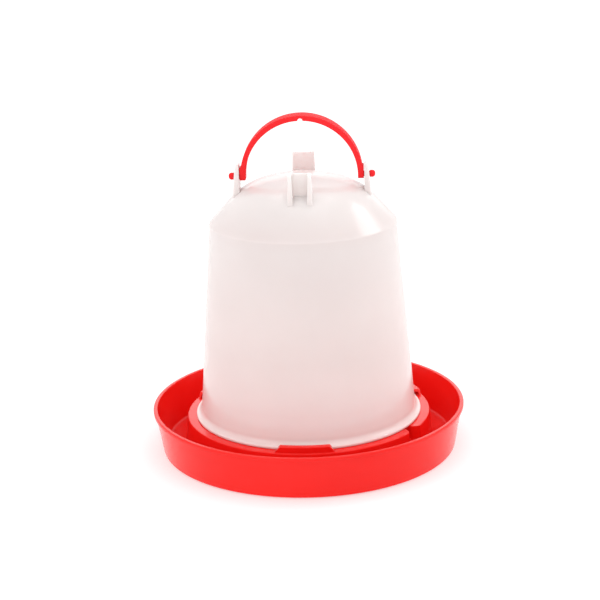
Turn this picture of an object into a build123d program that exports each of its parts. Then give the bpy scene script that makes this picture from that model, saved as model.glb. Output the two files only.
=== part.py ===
from build123d import *
import os
from math import atan2, cos, degrees, hypot, radians, sin

# Poultry drinker: a water jar (fount) standing mouth down in a round drinking tray, with a bail handle.
# Millimetres. Origin: centre of the tray's underside. +Z up, handle pivots along X, front is -Y.

# ---- tray -------------------------------------------------------------------------------------------
TRAY_HEIGHT = 42.0
RIM_R = 150.0             # outer radius of the rim flange
RIM_THICK = 3.6
RIM_ROUND = 0.9
TRAY_WALL = 2.4
WALL_TOP_R = 148.0        # outside of the trough wall, just under the rim flange
WALL_FOOT_R = 141.6       # outside of the trough wall, carried down to the ground
WALL_FOOT_ROUND = 3.2
FLOOR_TOP_Z = 3.2         # water side of the trough floor
FLOOR_THICK = 2.4
STAND_OUTER_R = 137.0     # middle radii of the two rings the tray stands on
STAND_INNER_R = 124.0
STAND_WIDTH = 3.0
FLOOR_CORNER_ROUND = 2.5   # water side, where the floor meets a wall

SEAT_Z = 33.0             # flat ring that carries the jar's lip
SEAT_R = 117.0
SEAT_FOOT_R = 120.2       # the seat's outer wall where it meets the trough floor
SEAT_ROUND = 1.0
SPIGOT_R = 100.4          # low ring that centres the jar's mouth
SPIGOT_THICK = 2.4
SPIGOT_TOP_Z = 38.0
CENTRE_RISE = 4.0         # crown of the raised centre above the seat
CENTRE_R = 90.0

CATCH_COUNT = 3
CATCH_FIRST_AZ = -90.0    # degrees counter-clockwise from +X
CATCH_R = 115.0
CATCH_TOP_Z = 38.6
CATCH_THICK = 2.2
CATCH_REACH = 6.0         # radial width of the catch's roof
CATCH_FOOT_WIDTH = 55.0
CATCH_TOP_WIDTH = 44.5

OUTLET_AZ = -30.0         # midway between two catches
OUTLET_WIDTH = 9.2
OUTLET_MOUTH_WIDTH = 23.0
OUTLET_INNER_R = 96.0
OUTLET_NECK_R = 112.0     # the chute is straight up to here, then widens
OUTLET_INNER_Z = 28.0     # chute floor under the jar
OUTLET_OUTER_Z = 14.0     # chute floor where it leaves the seat's outer wall

# ---- fount ------------------------------------------------------------------------------------------
JAR_WALL = 2.0
SEAT_GAP = 0.2            # between the jar's lip and the seat
LIP_Z = SEAT_Z + SEAT_GAP
JAR_TOP_Z = 266.0
SHOULDER_R = 88.3
SHOULDER_Z = 221.5
SHOULDER_ROUND = 3.0
SHOULDER_SLOPE = 47.8     # degrees below horizontal
CROWN_R = 160.0           # flat middle of the dome
CROWN_ANGLE = 12.0
KNUCKLE_R = 70.0          # tighter curve from the crown down to the shoulder slope
WALL_END_R = 103.1        # the straight wall ends here and turns out into the lip
WALL_END_Z = 40.7
FLARE_R = 5.6
FLARE_TURN = 75.0
LIP_R = 1.0

LUG_HALF_ANGLE = 8.0
LUG_INNER_R = 106.0
LUG_OUTER_R = 112.2
LUG_HEIGHT = 2.4

FOOT_TOP_Z = 277.0        # posts and ears end level, so the upturned jar stands on them
POST_INNER_R = 48.0
POST_OUTER_R = 60.0
POST_WIDTH = 21.0         # across the top
POST_RIB = 3.2
POST_WEB = 2.2
POST_DRAFT = 2.0
EAR_INNER_X = 58.1
EAR_TOP_X = 61.8          # outer face at the top and at the foot
EAR_FOOT_X = 64.2
EAR_FOOT_Z = 250.0
EAR_WIDTH = 22.0
EAR_TOP_WIDTH = 15.0
EAR_ROUND = 4.0
DOME_ROOT_Z = 236.0       # ears and posts start inside the jar's wall, above this height

# ---- handle -----------------------------------------------------------------------------------------
PIVOT_Z = 265.0
PIN_R = 2.60
PIN_CLEARANCE = 0.05
BAIL_R = 57.0             # outside of the arch, about the pivot
BAIL_THICK = 4.8
BAIL_SKIN = 2.4
BAIL_FLANGE = 2.2
BAIL_TOP_WIDTH = 20.0
BAIL_END_WIDTH = 16.0
BAIL_END_Z = 261.8
PAD_TOP_Z = 273.5         # solid ends of the arms
PAD_OUTER_X = 57.7
BARB_START_X = 63.4
BARB_END_X = 68.3
BARB_R = 3.3
BARB_ROUND = 2.8
HANG_NOTCH_R = 2.4

EDGE_ROUND = 0.6
EMBED = 1.0               # how far an added feature starts inside the body it joins
BIG = 400.0               # longer than anything it cuts or is cut with


def turned(outline):
    """Solid of revolution about Z from a closed outline of curves drawn as (radius, height)."""
    return revolve(Plane.XZ * make_face(outline), Axis.Z)


def turned_polygon(*points):
    return turned(Polyline(*points, close=True))


def rounded_ring(body, radius, z, size):
    """Rounds the circular edge of a turned body that lies nearest to a radius and a height."""
    circles = body.edges().filter_by(GeomType.CIRCLE)
    edge = min(circles, key=lambda edge: hypot(edge.radius - radius, edge.center().Z - z))
    return fillet(edge, size)


def side_prism(*points):
    """Prism along X from a polygon drawn as (Y, Z)."""
    return extrude(Plane.YZ * make_face(Polyline(*points, close=True)), BIG / 2, both=True)


def unit(angle):
    return Vector(cos(radians(angle)), sin(radians(angle)))


# ---- tray -------------------------------------------------------------------------------------------
def tray_wall_radius(z):
    return WALL_FOOT_R + (WALL_TOP_R - WALL_FOOT_R) * z / (TRAY_HEIGHT - RIM_THICK)


def seat_wall_radius(z):
    return SEAT_R + (SEAT_FOOT_R - SEAT_R) * (SEAT_Z - z) / (SEAT_Z - FLOOR_TOP_Z)


def trough():
    """Trough wall with its rim flange, and the floor out to the seat's foot."""
    under = FLOOR_TOP_Z - FLOOR_THICK
    rim_under = TRAY_HEIGHT - RIM_THICK
    body = turned_polygon(
        (SEAT_FOOT_R - TRAY_WALL, under),
        (tray_wall_radius(under), under),
        (WALL_TOP_R, rim_under),
        (RIM_R, rim_under),
        (RIM_R, TRAY_HEIGHT),
        (tray_wall_radius(TRAY_HEIGHT) - TRAY_WALL, TRAY_HEIGHT),
        (tray_wall_radius(FLOOR_TOP_Z) - TRAY_WALL, FLOOR_TOP_Z),
        (SEAT_FOOT_R - TRAY_WALL, FLOOR_TOP_Z),
    )
    body = rounded_ring(body, tray_wall_radius(under), under, WALL_FOOT_ROUND)
    body = rounded_ring(body, tray_wall_radius(FLOOR_TOP_Z) - TRAY_WALL, FLOOR_TOP_Z, FLOOR_CORNER_ROUND)
    body = rounded_ring(body, tray_wall_radius(TRAY_HEIGHT) - TRAY_WALL, TRAY_HEIGHT, RIM_ROUND)
    body = rounded_ring(body, RIM_R, TRAY_HEIGHT, RIM_ROUND)
    body = rounded_ring(body, RIM_R, rim_under, EDGE_ROUND)
    for radius in (STAND_OUTER_R, STAND_INNER_R):
        half = STAND_WIDTH / 2
        body += turned_polygon(
            (radius - half, 0),
            (radius + half, 0),
            (radius + half, FLOOR_TOP_Z - FLOOR_THICK + EMBED),
            (radius - half, FLOOR_TOP_Z - FLOOR_THICK + EMBED),
        )
    return body


def raised_centre(inset):
    """The seat and the crowned centre as a filled body, inset all over by a wall thickness."""
    top = SEAT_Z - inset
    floor = FLOOR_TOP_Z - FLOOR_THICK
    crown_r = (CENTRE_R ** 2 + CENTRE_RISE ** 2) / (2 * CENTRE_RISE)
    half_angle = degrees(atan2(CENTRE_R, crown_r - CENTRE_RISE))
    crown = JernArc((0, top + CENTRE_RISE), (1, 0), crown_r, -half_angle)
    rest = Polyline(
        crown @ 1,
        (seat_wall_radius(top) - inset, top),
        (seat_wall_radius(floor) - inset, floor),
        (0, floor),
        (0, top + CENTRE_RISE),
    )
    return turned([crown, rest])


def outlet_chute(grow):
    """Sloping, widening chute that lets water out from under the jar's lip."""
    inner_r = OUTLET_INNER_R - grow
    outer_r = SEAT_FOOT_R + EMBED
    neck = OUTLET_WIDTH / 2 + grow
    mouth = OUTLET_MOUTH_WIDTH / 2 + grow
    side = Polyline(
        (inner_r, SEAT_Z + EMBED),
        (inner_r, OUTLET_INNER_Z - grow),
        (outer_r, OUTLET_OUTER_Z - grow),
        (outer_r, SEAT_Z + EMBED),
        close=True,
    )
    plan = Polyline(
        (inner_r, -neck),
        (OUTLET_NECK_R, -neck),
        (SEAT_R, -mouth),
        (outer_r, -mouth),
        (outer_r, mouth),
        (SEAT_R, mouth),
        (OUTLET_NECK_R, neck),
        (inner_r, neck),
        close=True,
    )
    chute = extrude(Plane.XZ * make_face(side), OUTLET_MOUTH_WIDTH, both=True)
    return Rot(0, 0, OUTLET_AZ) * (chute & extrude(make_face(plan), TRAY_HEIGHT))


def catch():
    """One hooked catch at azimuth 0: a wall and a roof with slanted ends."""
    ring = turned_polygon(
        (CATCH_R - CATCH_THICK, SEAT_Z - EMBED),
        (CATCH_R, SEAT_Z - EMBED),
        (CATCH_R, CATCH_TOP_Z),
        (CATCH_R - CATCH_REACH, CATCH_TOP_Z),
        (CATCH_R - CATCH_REACH, CATCH_TOP_Z - CATCH_THICK),
        (CATCH_R - CATCH_THICK, CATCH_TOP_Z - CATCH_THICK),
    )
    foot = CATCH_FOOT_WIDTH / 2
    top = CATCH_TOP_WIDTH / 2
    slant = (foot - top) / (CATCH_TOP_Z - SEAT_Z)
    window = Polyline(
        (-foot - slant, SEAT_Z - EMBED),
        (foot + slant, SEAT_Z - EMBED),
        (top - slant, CATCH_TOP_Z + EMBED),
        (-top + slant, CATCH_TOP_Z + EMBED),
        close=True,
    )
    return ring & extrude(Plane.YZ * make_face(window), BIG)


def spigot():
    """Low ring on the seat that centres the jar's mouth."""
    body = turned_polygon(
        (SPIGOT_R - SPIGOT_THICK, SEAT_Z - EMBED),
        (SPIGOT_R, SEAT_Z - EMBED),
        (SPIGOT_R, SPIGOT_TOP_Z),
        (SPIGOT_R - SPIGOT_THICK, SPIGOT_TOP_Z),
    )
    body = rounded_ring(body, SPIGOT_R, SPIGOT_TOP_Z, EDGE_ROUND)
    return rounded_ring(body, SPIGOT_R - SPIGOT_THICK, SPIGOT_TOP_Z, EDGE_ROUND)


def make_tray():
    body = trough() + raised_centre(0)
    body = rounded_ring(body, SEAT_R, SEAT_Z, SEAT_ROUND)
    body = rounded_ring(body, SEAT_FOOT_R, FLOOR_TOP_Z, FLOOR_CORNER_ROUND)
    body += spigot()
    body -= raised_centre(TRAY_WALL) - outlet_chute(TRAY_WALL)
    body -= outlet_chute(0)
    hook = catch()
    for index in range(CATCH_COUNT):
        body += Rot(0, 0, CATCH_FIRST_AZ + index * 360 / CATCH_COUNT) * hook
    return body


# ---- fount ------------------------------------------------------------------------------------------
def bell_wall(inset):
    """Half section of the jar from its top to the end of its straight wall, inset from the outer skin."""
    wall_run = Vector(WALL_END_R - SHOULDER_R, WALL_END_Z - SHOULDER_Z).normalized()
    wall_in = Vector(wall_run.Y, -wall_run.X)
    slope_in = Vector(-sin(radians(SHOULDER_SLOPE)), -cos(radians(SHOULDER_SLOPE)))
    mitre = (wall_in + slope_in) * (inset / (1 + wall_in.dot(slope_in)))
    shoulder = Vector(SHOULDER_R, SHOULDER_Z) + mitre
    crown = JernArc((0, JAR_TOP_Z - inset), (1, 0), CROWN_R - inset, -CROWN_ANGLE)
    knuckle = JernArc(crown @ 1, crown % 1, KNUCKLE_R - inset, CROWN_ANGLE - SHOULDER_SLOPE)
    slope = Line(knuckle @ 1, shoulder)
    wall = Line(shoulder, Vector(WALL_END_R, WALL_END_Z) + wall_in * inset)
    return [crown, knuckle, slope, wall]


def bell_outside():
    """Filled jar with its flared lip."""
    run = bell_wall(0)
    direction = run[-1] % 1
    wall_angle = degrees(atan2(direction.Y, direction.X))
    flare = JernArc(run[-1] @ 1, direction, FLARE_R, FLARE_TURN)
    lip = JernArc(flare @ 1, flare % 1, LIP_R, -90 - wall_angle - FLARE_TURN)
    lip_r = (lip @ 1).X
    base = Polyline(lip @ 1, (lip_r, LIP_Z), (0, LIP_Z), (0, JAR_TOP_Z))
    return rounded_ring(turned(run + [flare, lip, base]), SHOULDER_R, SHOULDER_Z, SHOULDER_ROUND)


def bell_inside():
    """The room inside the jar, open at the mouth."""
    run = bell_wall(JAR_WALL)
    end = run[-1] @ 1
    foot_z = LIP_Z - EMBED
    foot_r = end.X + (end.Y - foot_z) * (WALL_END_R - SHOULDER_R) / (SHOULDER_Z - WALL_END_Z)
    base = Polyline(end, (foot_r, foot_z), (0, foot_z), (0, JAR_TOP_Z - JAR_WALL))
    return rounded_ring(turned(run + [base]), SHOULDER_R, SHOULDER_Z, SHOULDER_ROUND - JAR_WALL / 2)


def ear():
    """Right-hand handle ear, rising out of the dome at +X."""
    outline = Polyline(
        (-EAR_WIDTH / 2, DOME_ROOT_Z),
        (EAR_WIDTH / 2, DOME_ROOT_Z),
        (EAR_WIDTH / 2, PIVOT_Z),
        (EAR_TOP_WIDTH / 2, FOOT_TOP_Z),
        (-EAR_TOP_WIDTH / 2, FOOT_TOP_Z),
        (-EAR_WIDTH / 2, PIVOT_Z),
        close=True,
    )
    plate = extrude(Plane.YZ * make_face(outline), BIG)
    upper = [edge for edge in plate.edges().filter_by(Axis.X) if edge.center().Z > PIVOT_Z - EMBED]
    plate = fillet(upper, EAR_ROUND)
    draft = (EAR_FOOT_X - EAR_TOP_X) / (FOOT_TOP_Z - EAR_FOOT_Z)
    root_x = EAR_FOOT_X + draft * (EAR_FOOT_Z - DOME_ROOT_Z)
    taper = Polyline(
        (EAR_INNER_X, DOME_ROOT_Z),
        (root_x, DOME_ROOT_Z),
        (EAR_TOP_X, FOOT_TOP_Z),
        (EAR_INNER_X, FOOT_TOP_Z),
        close=True,
    )
    plate &= extrude(Plane.XZ * make_face(taper), EAR_WIDTH, both=True)
    bore = Pos(EAR_INNER_X, 0, PIVOT_Z) * Rot(0, 90, 0) * Cylinder(PIN_R + PIN_CLEARANCE, EAR_WIDTH)
    return plate - bore


def post():
    """Front post, a channel open to the outside, rising out of the dome at -Y."""
    drop = FOOT_TOP_Z - DOME_ROOT_Z
    depth = POST_OUTER_R - POST_INNER_R
    top = Plane.XY.offset(FOOT_TOP_Z)
    block = extrude(top * Pos(0, -(POST_OUTER_R + POST_INNER_R) / 2) * Rectangle(POST_WIDTH, depth),
                    -drop, taper=-POST_DRAFT)
    pocket = Pos(0, -POST_INNER_R - POST_WEB - depth / 2)
    pocket = extrude(top * pocket * Rectangle(POST_WIDTH - 2 * POST_RIB, depth), -drop, taper=POST_DRAFT)
    back = Pos(0, -POST_INNER_R + BIG / 2, FOOT_TOP_Z) * Box(BIG, BIG, BIG)
    return block - pocket - back


def lug():
    """One bayonet lug on the lip at azimuth 0."""
    ring = turned_polygon(
        (LUG_INNER_R, LIP_Z),
        (LUG_OUTER_R, LIP_Z),
        (LUG_OUTER_R, LIP_Z + LUG_HEIGHT),
        (LUG_INNER_R, LIP_Z + LUG_HEIGHT),
    )
    edge = unit(LUG_HALF_ANGLE) * BIG
    sector = Polyline((0, 0), (edge.X, -edge.Y), (edge.X, edge.Y), close=True)
    return ring & extrude(make_face(sector), TRAY_HEIGHT)


def make_fount():
    body = bell_outside()
    tab = lug()
    for index in range(CATCH_COUNT):
        body += Rot(0, 0, CATCH_FIRST_AZ + index * 360 / CATCH_COUNT) * tab
    for turn in (0, 180):
        body += Rot(0, 0, turn) * ear()
        body += Rot(0, 0, turn) * post()
    return body - bell_inside()


# ---- handle -----------------------------------------------------------------------------------------
def bail_side(inset):
    """Side view of the bail: narrower at its ends than at the grip."""
    end = BAIL_END_WIDTH / 2 - inset
    grip = BAIL_TOP_WIDTH / 2 - inset
    top_z = PIVOT_Z + BAIL_R + EMBED
    return side_prism((-end, BAIL_END_Z), (end, BAIL_END_Z), (end, PAD_TOP_Z), (grip, top_z),
                      (-grip, top_z), (-end, PAD_TOP_Z))


def arch(outer_r, inner_r):
    """Half ring about the pivot axis, above it."""
    rod = Rot(90, 0, 0) * Cylinder(outer_r, BIG)
    bore = Rot(90, 0, 0) * Cylinder(inner_r, BIG)
    upper = Pos(0, 0, BIG / 2) * Box(BIG, BIG, BIG)
    return Pos(0, 0, PIVOT_Z) * ((rod - bore) & upper)


def pin():
    """Right-hand pin and its round snap-in barb."""
    shank = BARB_START_X - BAIL_R + EMBED
    along_x = Rot(0, 90, 0)
    body = Pos(BARB_START_X - shank / 2, 0, PIVOT_Z) * along_x * Cylinder(PIN_R, shank)
    length = BARB_END_X - BARB_START_X
    barb = Cylinder(BARB_R, length)
    barb = fillet(barb.edges().group_by(Axis.Z)[-1], BARB_ROUND)
    return body + Pos(BARB_START_X + length / 2, 0, PIVOT_Z) * along_x * barb


def make_handle():
    inner_r = BAIL_R - BAIL_THICK
    body = arch(BAIL_R, inner_r) & bail_side(0)
    hollow = arch(BAIL_R - BAIL_SKIN, inner_r - EMBED) & bail_side(BAIL_FLANGE)
    body -= hollow - Pos(0, 0, PAD_TOP_Z - BIG / 2) * Box(BIG, BIG, BIG)
    body -= Pos(0, 0, PIVOT_Z + inner_r) * Rot(90, 0, 0) * Cylinder(HANG_NOTCH_R, BIG)
    pad_height = PAD_TOP_Z - BAIL_END_Z
    pad_thick = PAD_OUTER_X - inner_r
    pad = Box(pad_thick, BAIL_END_WIDTH, pad_height)
    pad = fillet(pad.edges().filter_by(Axis.X), EDGE_ROUND)
    pad = Pos(inner_r + pad_thick / 2, 0, BAIL_END_Z + pad_height / 2) * pad
    for turn in (0, 180):
        body += Rot(0, 0, turn) * (pad + pin())
    return body


os.makedirs("parts", exist_ok=True)
for name, build in (("tray", make_tray), ("fount", make_fount), ("handle", make_handle)):
    solid = build()
    solid.label = name
    export_step(solid, f"parts/{name}.step")
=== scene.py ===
from math import asin, atan2, ceil, cos, pi, radians, sin, sqrt, tan

import bmesh
import bpy
from mathutils import Matrix, Vector


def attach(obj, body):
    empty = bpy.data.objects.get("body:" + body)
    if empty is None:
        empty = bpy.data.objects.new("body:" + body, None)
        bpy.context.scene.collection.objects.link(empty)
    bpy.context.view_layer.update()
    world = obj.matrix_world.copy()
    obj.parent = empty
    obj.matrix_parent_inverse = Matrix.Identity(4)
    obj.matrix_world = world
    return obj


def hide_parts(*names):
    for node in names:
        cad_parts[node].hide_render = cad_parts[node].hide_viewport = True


# Poultry drinker: a milky jar standing mouth down in a red drinking tray, with a red bail handle.
# Shapes are drawn in millimetres in the CAD frame and scaled to metres when a mesh is made.

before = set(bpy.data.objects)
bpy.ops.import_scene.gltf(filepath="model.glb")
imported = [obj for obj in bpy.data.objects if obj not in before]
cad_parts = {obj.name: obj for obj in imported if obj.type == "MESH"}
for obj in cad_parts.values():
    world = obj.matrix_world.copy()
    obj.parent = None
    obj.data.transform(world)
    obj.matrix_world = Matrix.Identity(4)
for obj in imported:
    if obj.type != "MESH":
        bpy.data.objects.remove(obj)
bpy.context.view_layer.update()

MM = 0.001
TURN_SEGMENTS = 240          # steps round a large turned piece
PIN_SEGMENTS = 64            # and round small ones
BORE_SEGMENTS = 48
ARC_STEP = radians(7)        # largest turn between two points of a rounded profile
CROWN_STEPS = 12             # steps along the crown of the tray's raised centre
CATCH_STEPS = 28
LUG_STEPS = 8
BAIL_STEPS = 96
STRAIGHT = 0.02              # a corner this close to straight, in radians, isn't rounded
CORNER_SHARE = 0.48          # the most of a side that one rounded corner may use
BEVEL_ANGLE = radians(50)    # edges sharper than this are softened
BEVEL_SEGMENTS = 3
SHARP_ANGLE = radians(32)    # edges sharper than this stay crisp in shading
ON_AXIS = 1e-6               # a profile point nearer to the axis than this lies on it
EMBED = 1.0                  # how far a cutter or an added shape runs past a surface

# ---- the tray's sizes, in millimetres; the main ones are those of the CAD part -------------------------
RIM_TOP = 42.0
RIM_R = 150.0
RIM_THICK = 3.6
TRAY_WALL = 2.4
WALL_TOP_R = 148.0
WALL_FOOT_R = 141.6
FLOOR_Z = 3.2
FLOOR_UNDER_Z = 0.8
STAND_RINGS = (137.0, 124.0)
STAND_HALF_WIDTH = 1.5
SEAT_Z = 33.0
SEAT_R = 117.0
SEAT_FOOT_R = 120.2
SPIGOT_R = 100.4
SPIGOT_THICK = 2.4
SPIGOT_TOP = 38.0
CENTRE_R = 90.0
CENTRE_RISE = 4.0
FINE_ROUND = 0.3
FOOT_ROUND = 0.4
EDGE_ROUND = 0.5
FLANGE_ROUND = 0.8
RIM_INNER_ROUND = 0.9
RIM_OUTER_ROUND = 1.1
SEAT_ROUND = 1.1
UNDER_ROUND = 1.5
SEAT_FOOT_ROUND = 2.5
FLOOR_ROUND = 3.0
WALL_FOOT_ROUND = 3.2
CATCH_AZIMUTHS = (-90, 30, 150)
CATCH_R = 115.0
CATCH_TOP = 38.6
CATCH_THICK = 2.2
CATCH_REACH = 6.0
CATCH_FOOT_HALF = 27.5
CATCH_TOP_HALF = 22.25
CATCH_ROUND = 0.8
CATCH_TIP_ROUND = 0.6
OUTLET_AZIMUTH = -30
OUTLET_HALF = 4.6
OUTLET_MOUTH_HALF = 11.5
OUTLET_INNER_R = 96.0
OUTLET_NECK_R = 112.0
OUTLET_INNER_Z = 28.0
OUTLET_OUTER_Z = 14.0
OUTLET_END_ROUND = 1.5
OUTLET_SIDE_ROUND = 8.0
CHUTE_SKIN = 1.2             # the chute's walls stay this far below the seat

# ---- the fount's sizes ---------------------------------------------------------------------------------
JAR_WALL = 2.0
LIP_Z = 33.2
JAR_TOP = 266.0
SHOULDER = (88.3, 221.5)
WALL_END = (103.1, 40.7)
CROWN_R = 160.0
CROWN_TURN = 12.0
KNUCKLE_R = 70.0
SHOULDER_SLOPE = 47.8
SHOULDER_ROUND = 3.0
FLARE_R = 5.6
FLARE_TURN = 75.0
LIP_R = 1.0
LIP_ROUND = 0.4
MOUTH_ROUND = 0.6
LUG_RADII = (106.0, 112.2)
LUG_HALF_ANGLE = 8
LUG_HEIGHT = 2.4
LUG_ROUND = 0.4
FOOT_TOP = 277.0
DOME_ROOT = 236.0            # ears and posts start inside the jar, at this height
ROOM_FLOOR = 216.0           # the room that they are kept out of, and how far it runs on down the slope
ROOM_OUT = 30.0
ROOM_DOWN = 33.0

POST_RADII = (48.0, 60.0)
POST_HALF_WIDTH = 10.5
POST_RIB = 3.2
POST_WEB = 2.2
POST_DRAFT = tan(radians(2))
POST_CORNERS = (0.8, 0.8, 0.7, 0.5, 1.2, 1.2, 0.5, 0.7)
POST_ROUND = 0.45
EAR_INNER_X = 58.1
EAR_TOP_X = 61.8
EAR_FOOT_X = 64.2
EAR_FOOT_Z = 250.0
EAR_HALF_WIDTH = 11.0
EAR_TOP_HALF = 7.5
EAR_CORNER_ROUND = 4.0
EAR_ROUND = 0.55
EAR_BORE_HALF = 10.0

# ---- the handle's sizes --------------------------------------------------------------------------------
PIVOT_Z = 265.0
PIN_R = 2.6
PIN_HOLE_R = 2.65
BAIL_R = 57.0
BAIL_THICK = 4.8
BAIL_SKIN = 2.4
BAIL_FLANGE = 2.2
BAIL_CORNERS = (0.9, 0.9, 0.7, 0.6, 0.8, 0.8, 0.6, 0.7)
BAIL_GRIP_HALF = 10.0
BAIL_END_HALF = 8.0
BAIL_END_Z = 261.8
PAD_TOP = 273.5
PAD_OUTER_X = 57.7
PAD_ROUND = 0.5
PAD_FOOT_ROUND = 3.0
PAD_TOP_ROUND = 1.5
BARB_START = 63.4
BARB_END = 68.3
BARB_R = 3.3
BARB_ROUND = 2.8
HANG_NOTCH_R = 2.4

# ---- colours and surfaces ------------------------------------------------------------------------------
RIPPLE = (22, 2.5)           # noises, each with its cycles per metre and its detail
GRAIN = (900, 3.0)
GLOSS = (60, 4.0)
FLOW = (9, 3.0)
CLOUD = (14, 3.0)
FLOW_STRETCH = (1, 1, 2.5)
NOISE_LOW = 0.3              # the range that a noise mostly keeps to
NOISE_HIGH = 0.7
CLOUD_SHADE = 0.96           # the darkest of the jar's cloudy spots, against 1 for the lightest
EDGE_SAMPLES = 4
TRAY_REDS = ((0.90, 0.016, 0.012), (0.82, 0.012, 0.009))       # and where the flow marks run
HANDLE_REDS = ((0.88, 0.030, 0.036), (0.82, 0.022, 0.026))
# top of the height ramp that paints light and shade into the jar's colour
PAINTED_LIGHT_TOP = 280.0
JAR_TINTS_WITH_PAINTED_LIGHT = (                # height in millimetres, and the jar's colour there, with painted light and shade: red glow below, pale band over the lip, lighter top
    (35.0, (0.86, 0.70, 0.68)),
    (44.0, (0.97, 0.83, 0.80)),
    (62.0, (0.90, 0.71, 0.69)),
    (110.0, (0.83, 0.68, 0.66)),
    (212.0, (0.815, 0.72, 0.705)),
    (226.0, (0.785, 0.685, 0.67)),
    (272.0, (0.83, 0.785, 0.77)),
)
MIX_FACTOR, MIX_A, MIX_B, MIX_RESULT = 0, 6, 7, 2     # the colour sockets of a Mix node

# ---- studio, in metres and radians, but the floor in millimetres ---------------------------------------
FLOOR_HALF = 6000.0
FLOOR_LEVEL = -0.3
FLOOR_GREY = 0.62
FLOOR_ROUGHNESS = 0.9
FLOOR_GLOW = 0.44
WORLD_STRENGTH = 1.05
LAMPS = (                    # name, place, target, width and height, watts
    ("key", (-1.5, -1.1, 1.25), (0, 0, 0.12), (0.5, 0.35), 2.5),
    ("window", (1.01, 0.34, 1.03), (0.058, -0.047, 0.229), (0.62, 0.38), 2.5),
    ("back_strip", (0, 2.4, 0.85), (0, 0, 0.1), (2.6, 0.6), 4),
    ("overhead", (0, 0.2, 1.9), (0, 0, 0), (1.4, 1.4), 5),
)
CAMERA_PLACE = (0, -1.45004, 0.57815)
CAMERA_YAW = -0.00361
CAMERA_PITCH = 0.29134
CAMERA_ROLL = -0.03007
CAMERA_ABOUT_Z = 0.04086     # the place and the view are turned about Z by this
CAMERA_LENS = 95.33          # in millimetres, as is the sensor
CAMERA_SENSOR = 36
CAMERA_FAR = 50


# ---- drawing profiles ----------------------------------------------------------------------------------
def arc_points(centre, radius, start, end):
    """Points on an arc, from one angle to another, both ends included."""
    steps = max(2, ceil(abs(end - start) / ARC_STEP))
    angles = [start + (end - start) * i / steps for i in range(steps + 1)]
    return [(centre[0] + radius * cos(a), centre[1] + radius * sin(a)) for a in angles]


def corner(before, point, after, radius):
    """The points that replace one corner of an outline when it is rounded."""
    to_before = Vector(before) - Vector(point)
    to_after = Vector(after) - Vector(point)
    half = to_before.angle(to_after) / 2
    if radius <= 0 or half > pi / 2 - STRAIGHT:
        return [tuple(point)]
    reach = min(radius / tan(half), to_before.length * CORNER_SHARE, to_after.length * CORNER_SHARE)
    radius = reach * tan(half)
    middle = (to_before.normalized() + to_after.normalized()).normalized()
    centre = Vector(point) + middle * radius / sin(half)
    start = Vector(point) + to_before.normalized() * reach - centre
    end = Vector(point) + to_after.normalized() * reach - centre
    first = atan2(start.y, start.x)
    swing = (atan2(end.y, end.x) - first + pi) % (2 * pi) - pi
    return arc_points(centre, radius, first, first + swing)


def rounded(points, radii, closed=True):
    """An outline with each corner rounded by its own radius, or all by one."""
    if not isinstance(radii, (list, tuple)):
        radii = [radii] * len(points)
    found = []
    count = len(points)
    for i in range(count):
        if not closed and i in (0, count - 1):
            found.append(tuple(points[i]))
        else:
            found += corner(points[i - 1], points[i], points[(i + 1) % count], radii[i])
    return found


# ---- meshes --------------------------------------------------------------------------------------------
def mesh_object(name, verts, faces):
    """A new object from points in millimetres, with its normals made to point outwards."""
    mesh = bpy.data.meshes.new(name)
    mesh.from_pydata([(x * MM, y * MM, z * MM) for x, y, z in verts], [], faces)
    work = bmesh.new()
    work.from_mesh(mesh)
    bmesh.ops.recalc_face_normals(work, faces=work.faces)
    work.to_mesh(mesh)
    work.free()
    piece = bpy.data.objects.new(name, mesh)
    bpy.context.scene.collection.objects.link(piece)
    return piece


def turned(name, profile, segments=TURN_SEGMENTS):
    """Closed solid of revolution about Z. The profile is closed, and may have its ends on the axis."""
    verts = []
    rings = []
    for r, z in profile:
        if r < ON_AXIS:
            rings.append([len(verts)] * segments)
            verts.append((0, 0, z))
            continue
        rings.append(list(range(len(verts), len(verts) + segments)))
        for i in range(segments):
            a = 2 * pi * i / segments
            verts.append((r * cos(a), r * sin(a), z))
    faces = []
    for lower, upper in zip(rings, rings[1:] + rings[:1]):
        for i in range(segments):
            j = (i + 1) % segments
            face = [lower[i], lower[j], upper[j], upper[i]]
            face = [v for k, v in enumerate(face) if v not in face[:k]]
            if len(face) > 2:
                faces.append(face)
    return mesh_object(name, verts, faces)


def lofted(name, sections):
    """Closed solid through a row of closed outlines that have the same number of points."""
    verts = [p for section in sections for p in section]
    size = len(sections[0])
    faces = []
    for k in range(len(sections) - 1):
        for i in range(size):
            j = (i + 1) % size
            faces.append([k * size + i, k * size + j, (k + 1) * size + j, (k + 1) * size + i])
    faces.append(list(range(size))[::-1])
    faces.append(list(range(len(verts) - size, len(verts))))
    return mesh_object(name, verts, faces)


def soften(piece, width):
    """Rounds the sharp edges of a piece."""
    bevel = piece.modifiers.new("soften", "BEVEL")
    bevel.width = width * MM
    bevel.segments = BEVEL_SEGMENTS
    bevel.limit_method = "ANGLE"
    bevel.angle_limit = BEVEL_ANGLE
    bevel.use_clamp_overlap = True
    apply_modifiers(piece)
    return piece


def apply_modifiers(piece):
    """Replaces the mesh by what its modifiers make of it."""
    evaluated = piece.evaluated_get(bpy.context.evaluated_depsgraph_get())
    mesh = bpy.data.meshes.new_from_object(evaluated)
    old = piece.data
    piece.modifiers.clear()
    piece.data = mesh
    bpy.data.meshes.remove(old)


def combine(piece, other, how):
    """Joins, cuts or keeps what two solids share, and removes the second."""
    step = piece.modifiers.new("combine", "BOOLEAN")
    step.operation = how
    step.solver = "MANIFOLD"
    step.object = other
    apply_modifiers(piece)
    bpy.data.objects.remove(other)
    return piece


def turn_about_z(piece, azimuth):
    piece.data.transform(Matrix.Rotation(radians(azimuth), 4, "Z"))
    return piece


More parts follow.
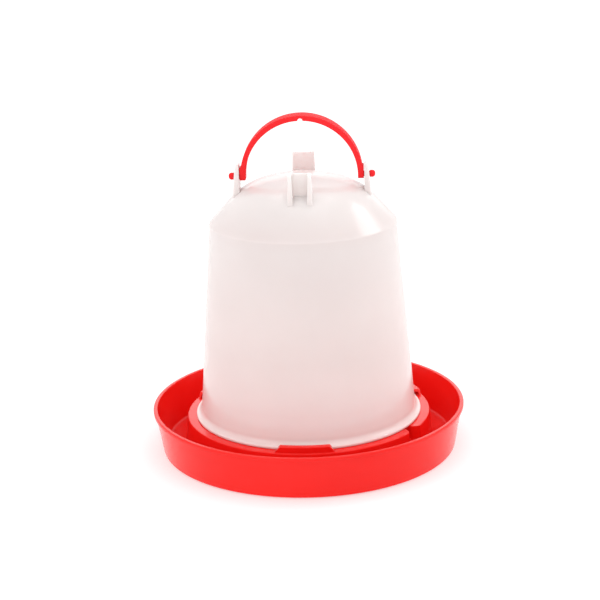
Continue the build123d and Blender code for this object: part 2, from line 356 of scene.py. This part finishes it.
def finished(piece, material, body, node):
    """Smooth shading with crisp edges, a material, and the CAD node that the piece stands for."""
    piece.data.shade_smooth()
    piece.data.set_sharp_from_angle(angle=SHARP_ANGLE)
    piece.data.materials.clear()
    piece.data.materials.append(material)
    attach(piece, body)
    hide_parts(node)
    return piece


# ---- tray ----------------------------------------------------------------------------------------------
def wall_r(z):
    return WALL_FOOT_R + (WALL_TOP_R - WALL_FOOT_R) * z / (RIM_TOP - RIM_THICK)


def seat_r(z):
    return SEAT_R + (SEAT_FOOT_R - SEAT_R) * (SEAT_Z - z) / (SEAT_Z - FLOOR_Z)


def crown_arc(top):
    """The raised centre's crown, from the axis out to its edge, with its edge at a height."""
    radius = (CENTRE_R ** 2 + CENTRE_RISE ** 2) / (2 * CENTRE_RISE)
    half = asin(CENTRE_R / radius)
    centre = top + CENTRE_RISE - radius
    angles = [half * i / CROWN_STEPS for i in range(CROWN_STEPS + 1)]
    return [(radius * sin(a), centre + radius * cos(a)) for a in angles]


def tray_profile():
    """Section of the whole tray, from the middle of its top round to the middle of its underside."""
    corners = [
        ((SPIGOT_R - SPIGOT_THICK, SEAT_Z), EDGE_ROUND),
        ((SPIGOT_R - SPIGOT_THICK, SPIGOT_TOP), FLANGE_ROUND),
        ((SPIGOT_R, SPIGOT_TOP), FLANGE_ROUND),
        ((SPIGOT_R, SEAT_Z), FLANGE_ROUND),
        ((SEAT_R, SEAT_Z), SEAT_ROUND),
        ((SEAT_FOOT_R, FLOOR_Z), SEAT_FOOT_ROUND),
        ((wall_r(FLOOR_Z) - TRAY_WALL, FLOOR_Z), FLOOR_ROUND),
        ((wall_r(RIM_TOP) - TRAY_WALL, RIM_TOP), RIM_INNER_ROUND),
        ((RIM_R, RIM_TOP), RIM_OUTER_ROUND),
        ((RIM_R, RIM_TOP - RIM_THICK), FLANGE_ROUND),
        ((WALL_TOP_R, RIM_TOP - RIM_THICK), EDGE_ROUND),
        ((wall_r(FLOOR_UNDER_Z), FLOOR_UNDER_Z), WALL_FOOT_ROUND),
    ]
    for radius in STAND_RINGS:
        corners += [
            ((radius + STAND_HALF_WIDTH, FLOOR_UNDER_Z), FINE_ROUND),
            ((radius + STAND_HALF_WIDTH, 0), FOOT_ROUND),
            ((radius - STAND_HALF_WIDTH, 0), FOOT_ROUND),
            ((radius - STAND_HALF_WIDTH, FLOOR_UNDER_Z), FINE_ROUND),
        ]
    corners += [
        ((seat_r(FLOOR_UNDER_Z) - TRAY_WALL, FLOOR_UNDER_Z), UNDER_ROUND),
        ((seat_r(SEAT_Z - TRAY_WALL) - TRAY_WALL, SEAT_Z - TRAY_WALL), UNDER_ROUND),
    ]
    top = crown_arc(SEAT_Z)
    under = crown_arc(SEAT_Z - TRAY_WALL)[::-1]
    points = [top[-1]] + [point for point, _ in corners] + [under[0]]
    radii = [0] + [radius for _, radius in corners] + [0]
    return top[:-1] + rounded(points, radii, closed=False) + under[1:]


def outlet_cutter(grow):
    """The chute's room, or with grow the outside of its walls."""
    inner = OUTLET_INNER_R - grow
    outer = SEAT_FOOT_R + EMBED
    neck = OUTLET_HALF + grow
    mouth = OUTLET_MOUTH_HALF + grow
    plan = [(inner, neck), (OUTLET_NECK_R, neck), (SEAT_R, mouth), (outer, mouth)]
    plan = plan + [(x, -y) for x, y in plan[::-1]]
    radii = [OUTLET_END_ROUND, OUTLET_SIDE_ROUND, OUTLET_SIDE_ROUND, 0]
    plan = rounded(plan, radii + radii[::-1])
    slope = (OUTLET_OUTER_Z - OUTLET_INNER_Z) / (outer - inner)
    lower = [(x, y, OUTLET_INNER_Z - grow + slope * (x - inner)) for x, y in plan]
    upper = [(x, y, SEAT_Z + EMBED) for x, y in plan]
    return turn_about_z(lofted("cutter", [lower, upper]), OUTLET_AZIMUTH)


def catch(azimuth):
    """A hooked catch: a curved wall with a roof that reaches in over the jar's lip."""
    outline = [
        (CATCH_R - CATCH_THICK, SEAT_Z - EMBED),
        (CATCH_R, SEAT_Z - EMBED),
        (CATCH_R, CATCH_TOP),
        (CATCH_R - CATCH_REACH, CATCH_TOP),
        (CATCH_R - CATCH_REACH, CATCH_TOP - CATCH_THICK),
        (CATCH_R - CATCH_THICK, CATCH_TOP - CATCH_THICK),
    ]
    outline = rounded(outline, [0, 0, CATCH_ROUND, CATCH_TIP_ROUND, CATCH_TIP_ROUND, CATCH_ROUND])
    slant = (CATCH_FOOT_HALF - CATCH_TOP_HALF) / (CATCH_TOP - SEAT_Z)
    sections = []
    for k in range(CATCH_STEPS + 1):
        section = []
        for r, z in outline:
            y = (2 * k / CATCH_STEPS - 1) * (CATCH_FOOT_HALF - slant * (z - SEAT_Z))
            section.append((sqrt(r * r - y * y), y, z))
        sections.append(section)
    return turn_about_z(soften(lofted("catch", sections), EDGE_ROUND), azimuth)


def make_tray(material):
    tray = turned("tray_basin", tray_profile())
    walls = outlet_cutter(TRAY_WALL)
    wall_top = SEAT_Z - CHUTE_SKIN
    filled = crown_arc(SEAT_Z) + [(seat_r(wall_top), wall_top), (seat_r(FLOOR_Z), FLOOR_Z), (0, FLOOR_Z)]
    combine(walls, turned("filled", filled), "INTERSECT")
    combine(tray, walls, "UNION")
    combine(tray, outlet_cutter(0), "DIFFERENCE")
    for azimuth in CATCH_AZIMUTHS:
        combine(tray, catch(azimuth), "UNION")
    return finished(tray, material, "tray", "tray")


# ---- fount ---------------------------------------------------------------------------------------------
def dome_arcs(inset):
    """Crown and knuckle of the dome, from the axis down to where the straight slope starts."""
    crown_centre = (0, JAR_TOP - CROWN_R)
    turn = radians(CROWN_TURN)
    crown = arc_points(crown_centre, CROWN_R - inset, pi / 2, pi / 2 - turn)
    apart = CROWN_R - KNUCKLE_R
    knuckle_centre = (apart * sin(turn), crown_centre[1] + apart * cos(turn))
    slope = radians(SHOULDER_SLOPE)
    knuckle = arc_points(knuckle_centre, KNUCKLE_R - inset, pi / 2 - turn, pi / 2 - slope)
    return crown + knuckle[1:]


def path_arc(start, heading, radius, turn):
    """Points of an arc that leaves a point in a direction and turns by an angle, and its last heading."""
    side = 1 if turn > 0 else -1
    centre = (start[0] - side * radius * sin(heading), start[1] + side * radius * cos(heading))
    first = heading - side * pi / 2
    return arc_points(centre, radius, first, first + turn), heading + turn


def jar_section():
    """Section of the jar's wall, from the top of the dome down to the lip and back up inside."""
    wall = (Vector(WALL_END) - Vector(SHOULDER)).normalized()
    wall_in = Vector((wall.y, -wall.x))
    slope = radians(SHOULDER_SLOPE)
    slope_in = Vector((-sin(slope), -cos(slope)))
    mitre = (wall_in + slope_in) * (JAR_WALL / (1 + wall_in.dot(slope_in)))
    outer_dome = dome_arcs(0)
    inner_dome = dome_arcs(JAR_WALL)
    heading = atan2(wall.y, wall.x)
    outside = corner(outer_dome[-1], SHOULDER, WALL_END, SHOULDER_ROUND)
    flare, heading = path_arc(WALL_END, heading, FLARE_R, radians(FLARE_TURN))
    lip, heading = path_arc(flare[-1], heading, LIP_R, -pi / 2 - heading)
    lip_r = lip[-1][0]
    inner_end = Vector(WALL_END) + wall_in * JAR_WALL
    mouth_r = inner_end.x + (inner_end.y - LIP_Z) * wall.x / -wall.y
    foot = [lip[-1], (lip_r, LIP_Z), (mouth_r, LIP_Z), tuple(inner_end)]
    foot = rounded(foot, [0, LIP_ROUND, MOUTH_ROUND, 0], closed=False)
    inner_shoulder = Vector(SHOULDER) + mitre
    inside = corner(inner_end, inner_shoulder, inner_dome[-1], SHOULDER_ROUND - JAR_WALL / 2)
    return outer_dome + outside + flare + lip[1:] + foot[1:-1] + inside + inner_dome[::-1]


def lug(azimuth):
    """A bayonet lug on the lip."""
    inner, outer = LUG_RADII
    top = LIP_Z + LUG_HEIGHT
    outline = rounded([(inner, LIP_Z), (outer, LIP_Z), (outer, top), (inner, top)], LUG_ROUND)
    sections = []
    for k in range(LUG_STEPS + 1):
        a = radians(LUG_HALF_ANGLE) * (2 * k / LUG_STEPS - 1)
        sections.append([(r * cos(a), r * sin(a), z) for r, z in outline])
    return turn_about_z(soften(lofted("lug", sections), LUG_ROUND), azimuth)


def ear(turn):
    """A flat ear with a drafted outer face and a bore for the handle's pin."""
    outline = [
        (-EAR_HALF_WIDTH, DOME_ROOT),
        (EAR_HALF_WIDTH, DOME_ROOT),
        (EAR_HALF_WIDTH, PIVOT_Z),
        (EAR_TOP_HALF, FOOT_TOP),
        (-EAR_TOP_HALF, FOOT_TOP),
        (-EAR_HALF_WIDTH, PIVOT_Z),
    ]
    outline = rounded(outline, [0, 0] + [EAR_CORNER_ROUND] * 4)
    draft = (EAR_FOOT_X - EAR_TOP_X) / (FOOT_TOP - EAR_FOOT_Z)
    inner = [(EAR_INNER_X, y, z) for y, z in outline]
    outer = [(EAR_TOP_X + draft * (FOOT_TOP - z), y, z) for y, z in outline]
    plate = soften(lofted("ear", [inner, outer]), EAR_ROUND)
    half = EAR_BORE_HALF
    bore = turned("bore", [(0, -half), (PIN_HOLE_R, -half), (PIN_HOLE_R, half), (0, half)], BORE_SEGMENTS)
    place = Matrix.Translation((EAR_INNER_X * MM, 0, PIVOT_Z * MM))
    bore.data.transform(place @ Matrix.Rotation(pi / 2, 4, "Y"))
    combine(plate, bore, "DIFFERENCE")
    return turn_about_z(plate, turn)


def post(turn):
    """A drafted channel, open to the outside, that the upturned jar stands on."""
    inner, outer = POST_RADII
    sections = []
    for z in (DOME_ROOT, FOOT_TOP):
        grow = (FOOT_TOP - z) * POST_DRAFT
        half = POST_HALF_WIDTH + grow
        room = POST_HALF_WIDTH - POST_RIB - grow
        front = -outer - grow
        web = -inner - POST_WEB - grow
        outline = [(-half, -inner), (half, -inner), (half, front), (room, front), (room, web),
                   (-room, web), (-room, front), (-half, front)]
        outline = rounded(outline, POST_CORNERS)
        sections.append([(x, y, z) for x, y in outline])
    return turn_about_z(soften(lofted("post", sections), POST_ROUND), turn)


def make_jar(material):
    jar = turned("fount_jar", jar_section())
    for azimuth in CATCH_AZIMUTHS:
        combine(jar, lug(azimuth), "UNION")
    parts = [make(turn) for turn in (0, 180) for make in (ear, post)]
    mid_wall = dome_arcs(JAR_WALL / 2)
    last_r, last_z = mid_wall[-1]
    keep_out = [(0, ROOM_FLOOR), (last_r + ROOM_OUT, last_z - ROOM_DOWN)] + mid_wall[::-1]
    for part in parts:
        combine(part, turned("keep_out", keep_out), "DIFFERENCE")
        combine(jar, part, "UNION")
    return finished(jar, material, "fount", "fount")


# ---- handle --------------------------------------------------------------------------------------------
def bail_half_width(z):
    """The bail is wider at the grip than at its ends."""
    share = max(0.0, (z - PAD_TOP) / (PIVOT_Z + BAIL_R - PAD_TOP))
    return BAIL_END_HALF + (BAIL_GRIP_HALF - BAIL_END_HALF) * share


def bail_strip():
    """The arch: a channel with its hollow towards the pivot."""
    inner = BAIL_R - BAIL_THICK
    skin = BAIL_R - BAIL_SKIN
    sections = []
    for k in range(BAIL_STEPS + 1):
        a = pi * k / BAIL_STEPS
        half = bail_half_width(PIVOT_Z + BAIL_R * sin(a))
        room = half - BAIL_FLANGE
        outline = [(BAIL_R, -half), (BAIL_R, half), (inner, half), (inner, room), (skin, room),
                   (skin, -room), (inner, -room), (inner, -half)]
        outline = rounded(outline, BAIL_CORNERS)
        sections.append([(r * cos(a), y, PIVOT_Z + r * sin(a)) for r, y in outline])
    return lofted("bail_handle", sections)


def pad_and_pin(turn):
    """The solid end of one arm with its pin and snap-in barb."""
    inner = BAIL_R - BAIL_THICK
    outline = [(-BAIL_END_HALF, BAIL_END_Z), (BAIL_END_HALF, BAIL_END_Z),
               (BAIL_END_HALF, PAD_TOP), (-BAIL_END_HALF, PAD_TOP)]
    outline = rounded(outline, [PAD_FOOT_ROUND, PAD_FOOT_ROUND, PAD_TOP_ROUND, PAD_TOP_ROUND])
    pad = lofted("pad", [[(x, y, z) for y, z in outline] for x in (inner, PAD_OUTER_X)])
    soften(pad, PAD_ROUND)
    dome_centre = (BARB_R - BARB_ROUND, BARB_END - BARB_ROUND)
    root = BAIL_R - EMBED
    profile = [(0, root), (PIN_R, root), (PIN_R, BARB_START), (BARB_R, BARB_START)]
    profile += arc_points(dome_centre, BARB_ROUND, 0, pi / 2) + [(0, BARB_END)]
    pin = turned("pin", profile, PIN_SEGMENTS)
    pin.data.transform(Matrix.Translation((0, 0, PIVOT_Z * MM)) @ Matrix.Rotation(pi / 2, 4, "Y"))
    return turn_about_z(combine(pad, pin, "UNION"), turn)


def make_handle(material):
    bail = bail_strip()
    for turn in (0, 180):
        combine(bail, pad_and_pin(turn), "UNION")
    outline = [(0, -BAIL_R), (HANG_NOTCH_R, -BAIL_R), (HANG_NOTCH_R, BAIL_R), (0, BAIL_R)]
    notch = turned("notch", outline, BORE_SEGMENTS)
    top = PIVOT_Z + BAIL_R - BAIL_THICK
    notch.data.transform(Matrix.Translation((0, 0, top * MM)) @ Matrix.Rotation(pi / 2, 4, "X"))
    combine(bail, notch, "DIFFERENCE")
    return finished(bail, material, "handle", "handle")


# ---- materials -----------------------------------------------------------------------------------------
def add(material, kind, **inputs):
    """A new node, with plain values or links for its inputs. Names use _ for a space."""
    node = material.node_tree.nodes.new(kind)
    for key, value in inputs.items():
        feed(material, node, key.replace("_", " "), value)
    return node


def feed(material, node, socket, value):
    """Links an output to an input, or sets the input to a plain value."""
    if isinstance(value, bpy.types.NodeSocket):
        material.node_tree.links.new(value, node.inputs[socket])
    else:
        node.inputs[socket].default_value = value


def noise(material, scale, detail=2.0, stretch=None):
    """Noise in object space, in cycles per metre, with its axes scaled if asked."""
    place = add(material, "ShaderNodeTexCoord").outputs["Object"]
    if stretch:
        mapping = add(material, "ShaderNodeMapping", Vector=place, Scale=stretch)
        place = mapping.outputs["Vector"]
    return add(material, "ShaderNodeTexNoise", Vector=place, Scale=scale, Detail=detail).outputs["Fac"]


def ramp(material, factor, low, high, from_=NOISE_LOW, to=NOISE_HIGH):
    """A factor carried from one range to another."""
    node = add(material, "ShaderNodeMapRange", Value=factor)
    feed(material, node, "From Min", from_)
    feed(material, node, "From Max", to)
    feed(material, node, "To Min", low)
    feed(material, node, "To Max", high)
    return node.outputs["Result"]


def mixed(material, factor, first, second):
    """A colour between two others."""
    node = add(material, "ShaderNodeMix")
    node.data_type = "RGBA"
    feed(material, node, MIX_FACTOR, factor)
    feed(material, node, MIX_A, (*first, 1))
    feed(material, node, MIX_B, (*second, 1))
    return node.outputs[MIX_RESULT]


def bump(material, depth, height, normal):
    """A normal bumped by a height, to a depth in millimetres."""
    node = add(material, "ShaderNodeBump", Strength=1.0, Distance=depth * MM, Height=height, Normal=normal)
    return node.outputs["Normal"]


def scatter(shader, weight, radius, scale):
    """Light scattered inside the plastic."""
    shader.inputs["Subsurface Weight"].default_value = weight
    shader.inputs["Subsurface Radius"].default_value = radius
    shader.inputs["Subsurface Scale"].default_value = scale


def moulded(name, roughness, edge, ripple, fine):
    """A principled material with edges rounded in shading, a slow ripple and a fine grain."""
    material = bpy.data.materials.new(name)
    material.use_nodes = True
    shader = material.node_tree.nodes["Principled BSDF"]
    rounding = add(material, "ShaderNodeBevel", Radius=edge * MM)
    rounding.samples = EDGE_SAMPLES
    slow = bump(material, ripple, noise(material, *RIPPLE), rounding.outputs["Normal"])
    feed(material, shader, "Normal", bump(material, fine, noise(material, *GRAIN), slow))
    low, high = roughness
    feed(material, shader, "Roughness", ramp(material, noise(material, *GLOSS), low, high))
    return material, shader


def red_plastic(name, colour, deep, roughness, level):
    """Dyed plastic, a little deeper in colour where the flow marks run."""
    material, shader = moulded(name, roughness, edge=0.35, ripple=0.05, fine=0.004)
    flow = noise(material, *FLOW, FLOW_STRETCH)
    feed(material, shader, "Base Color", mixed(material, ramp(material, flow, 0, 1), colour, deep))
    shader.inputs["Specular IOR Level"].default_value = level
    scatter(shader, 0.3, (1.0, 0.4, 0.4), 0.003)
    return material


def milky_plastic_with_painted_light(name, painted_light_tints):
    """Milky plastic whose colour changes with height, with light and shade painted in: a painted red glow
    low down for the tray's light through the wall, a painted pale band just above the lip against the shade
    of the flare, a slightly darker dome, and a lighter top against the handle's red bounce.
    """
    material, shader = moulded(name, (0.15, 0.23), edge=0.4, ripple=0.16, fine=0.003)
    place = add(material, "ShaderNodeTexCoord").outputs["Object"]
    height = add(material, "ShaderNodeSeparateXYZ", Vector=place).outputs["Z"]
    share = ramp(material, height, 0, 1, 0, PAINTED_LIGHT_TOP * MM)
    # painted light and shade: this ramp paints the tray's red glow low down, a pale band above the lip, a
    # darker dome and a lighter top into the jar's colour
    painted_light_ramp = add(material, "ShaderNodeValToRGB", Fac=share)
    stops = painted_light_ramp.color_ramp.elements
    while len(stops) < len(painted_light_tints):
        stops.new(1.0)
    for stop, (z, colour) in zip(stops, painted_light_tints):
        stop.position = z / PAINTED_LIGHT_TOP
        stop.color = (*colour, 1)
    cloud = ramp(material, noise(material, *CLOUD), CLOUD_SHADE, 1.0)
    shade = add(material, "ShaderNodeVectorMath")
    shade.operation = "SCALE"
    feed(material, shade, "Vector", painted_light_ramp.outputs["Color"])
    feed(material, shade, "Scale", cloud)
    feed(material, shader, "Base Color", shade.outputs["Vector"])
    scatter(shader, 0.8, (1.0, 0.95, 0.95), 0.004)
    return material


# ---- studio --------------------------------------------------------------------------------------------
def make_floor():
    half = FLOOR_HALF
    corners = [(x, y, FLOOR_LEVEL) for x, y in ((-half, -half), (half, -half), (half, half), (-half, half))]
    floor = mesh_object("floor", corners, [[0, 1, 2, 3]])
    material = bpy.data.materials.new("floor_white")
    material.use_nodes = True
    shader = material.node_tree.nodes["Principled BSDF"]
    shader.inputs["Base Color"].default_value = (FLOOR_GREY, FLOOR_GREY, FLOOR_GREY, 1)
    shader.inputs["Roughness"].default_value = FLOOR_ROUGHNESS
    shader.inputs["Specular IOR Level"].default_value = 0.0
    shader.inputs["Emission Color"].default_value = (1, 1, 1, 1)
    shader.inputs["Emission Strength"].default_value = FLOOR_GLOW
    floor.data.materials.append(material)


def area_light(name, place, target, size, power):
    light = bpy.data.lights.new(name, "AREA")
    light.shape = "RECTANGLE"
    light.size, light.size_y = size
    light.energy = power
    lamp = bpy.data.objects.new(name, light)
    lamp.location = place
    lamp.rotation_euler = (Vector(target) - Vector(place)).to_track_quat("-Z", "Y").to_euler()
    bpy.context.scene.collection.objects.link(lamp)


def make_lights():
    world = bpy.data.worlds.new("studio")
    world.use_nodes = True
    bpy.context.scene.world = world
    background = world.node_tree.nodes["Background"]
    background.inputs["Color"].default_value = (1, 1, 1, 1)
    background.inputs["Strength"].default_value = WORLD_STRENGTH
    for lamp in LAMPS:
        area_light(*lamp)


def make_camera():
    camera = bpy.data.cameras.new("camera")
    camera.lens = CAMERA_LENS
    camera.sensor_width = CAMERA_SENSOR
    camera.clip_end = CAMERA_FAR
    eye = bpy.data.objects.new("camera", camera)
    level = cos(CAMERA_PITCH)
    forward = Vector((sin(CAMERA_YAW) * level, cos(CAMERA_YAW) * level, -sin(CAMERA_PITCH)))
    flat_right = Vector((cos(CAMERA_YAW), -sin(CAMERA_YAW), 0))
    flat_up = flat_right.cross(forward)
    right = cos(CAMERA_ROLL) * flat_right + sin(CAMERA_ROLL) * flat_up
    up = -sin(CAMERA_ROLL) * flat_right + cos(CAMERA_ROLL) * flat_up
    axes = Matrix((right, up, -forward)).transposed().to_4x4()
    place = Matrix.Translation(CAMERA_PLACE) @ axes
    eye.matrix_world = Matrix.Rotation(CAMERA_ABOUT_Z, 4, "Z") @ place
    bpy.context.scene.collection.objects.link(eye)
    bpy.context.scene.camera = eye


make_tray(red_plastic("tray_red", *TRAY_REDS, roughness=(0.13, 0.22), level=0.22))
make_jar(milky_plastic_with_painted_light("jar_milky_painted_light", JAR_TINTS_WITH_PAINTED_LIGHT))
make_handle(red_plastic("handle_red", *HANDLE_REDS, roughness=(0.55, 0.65), level=0.08))
make_floor()
make_lights()
make_camera()
bpy.context.scene.view_settings.view_transform = "Standard"
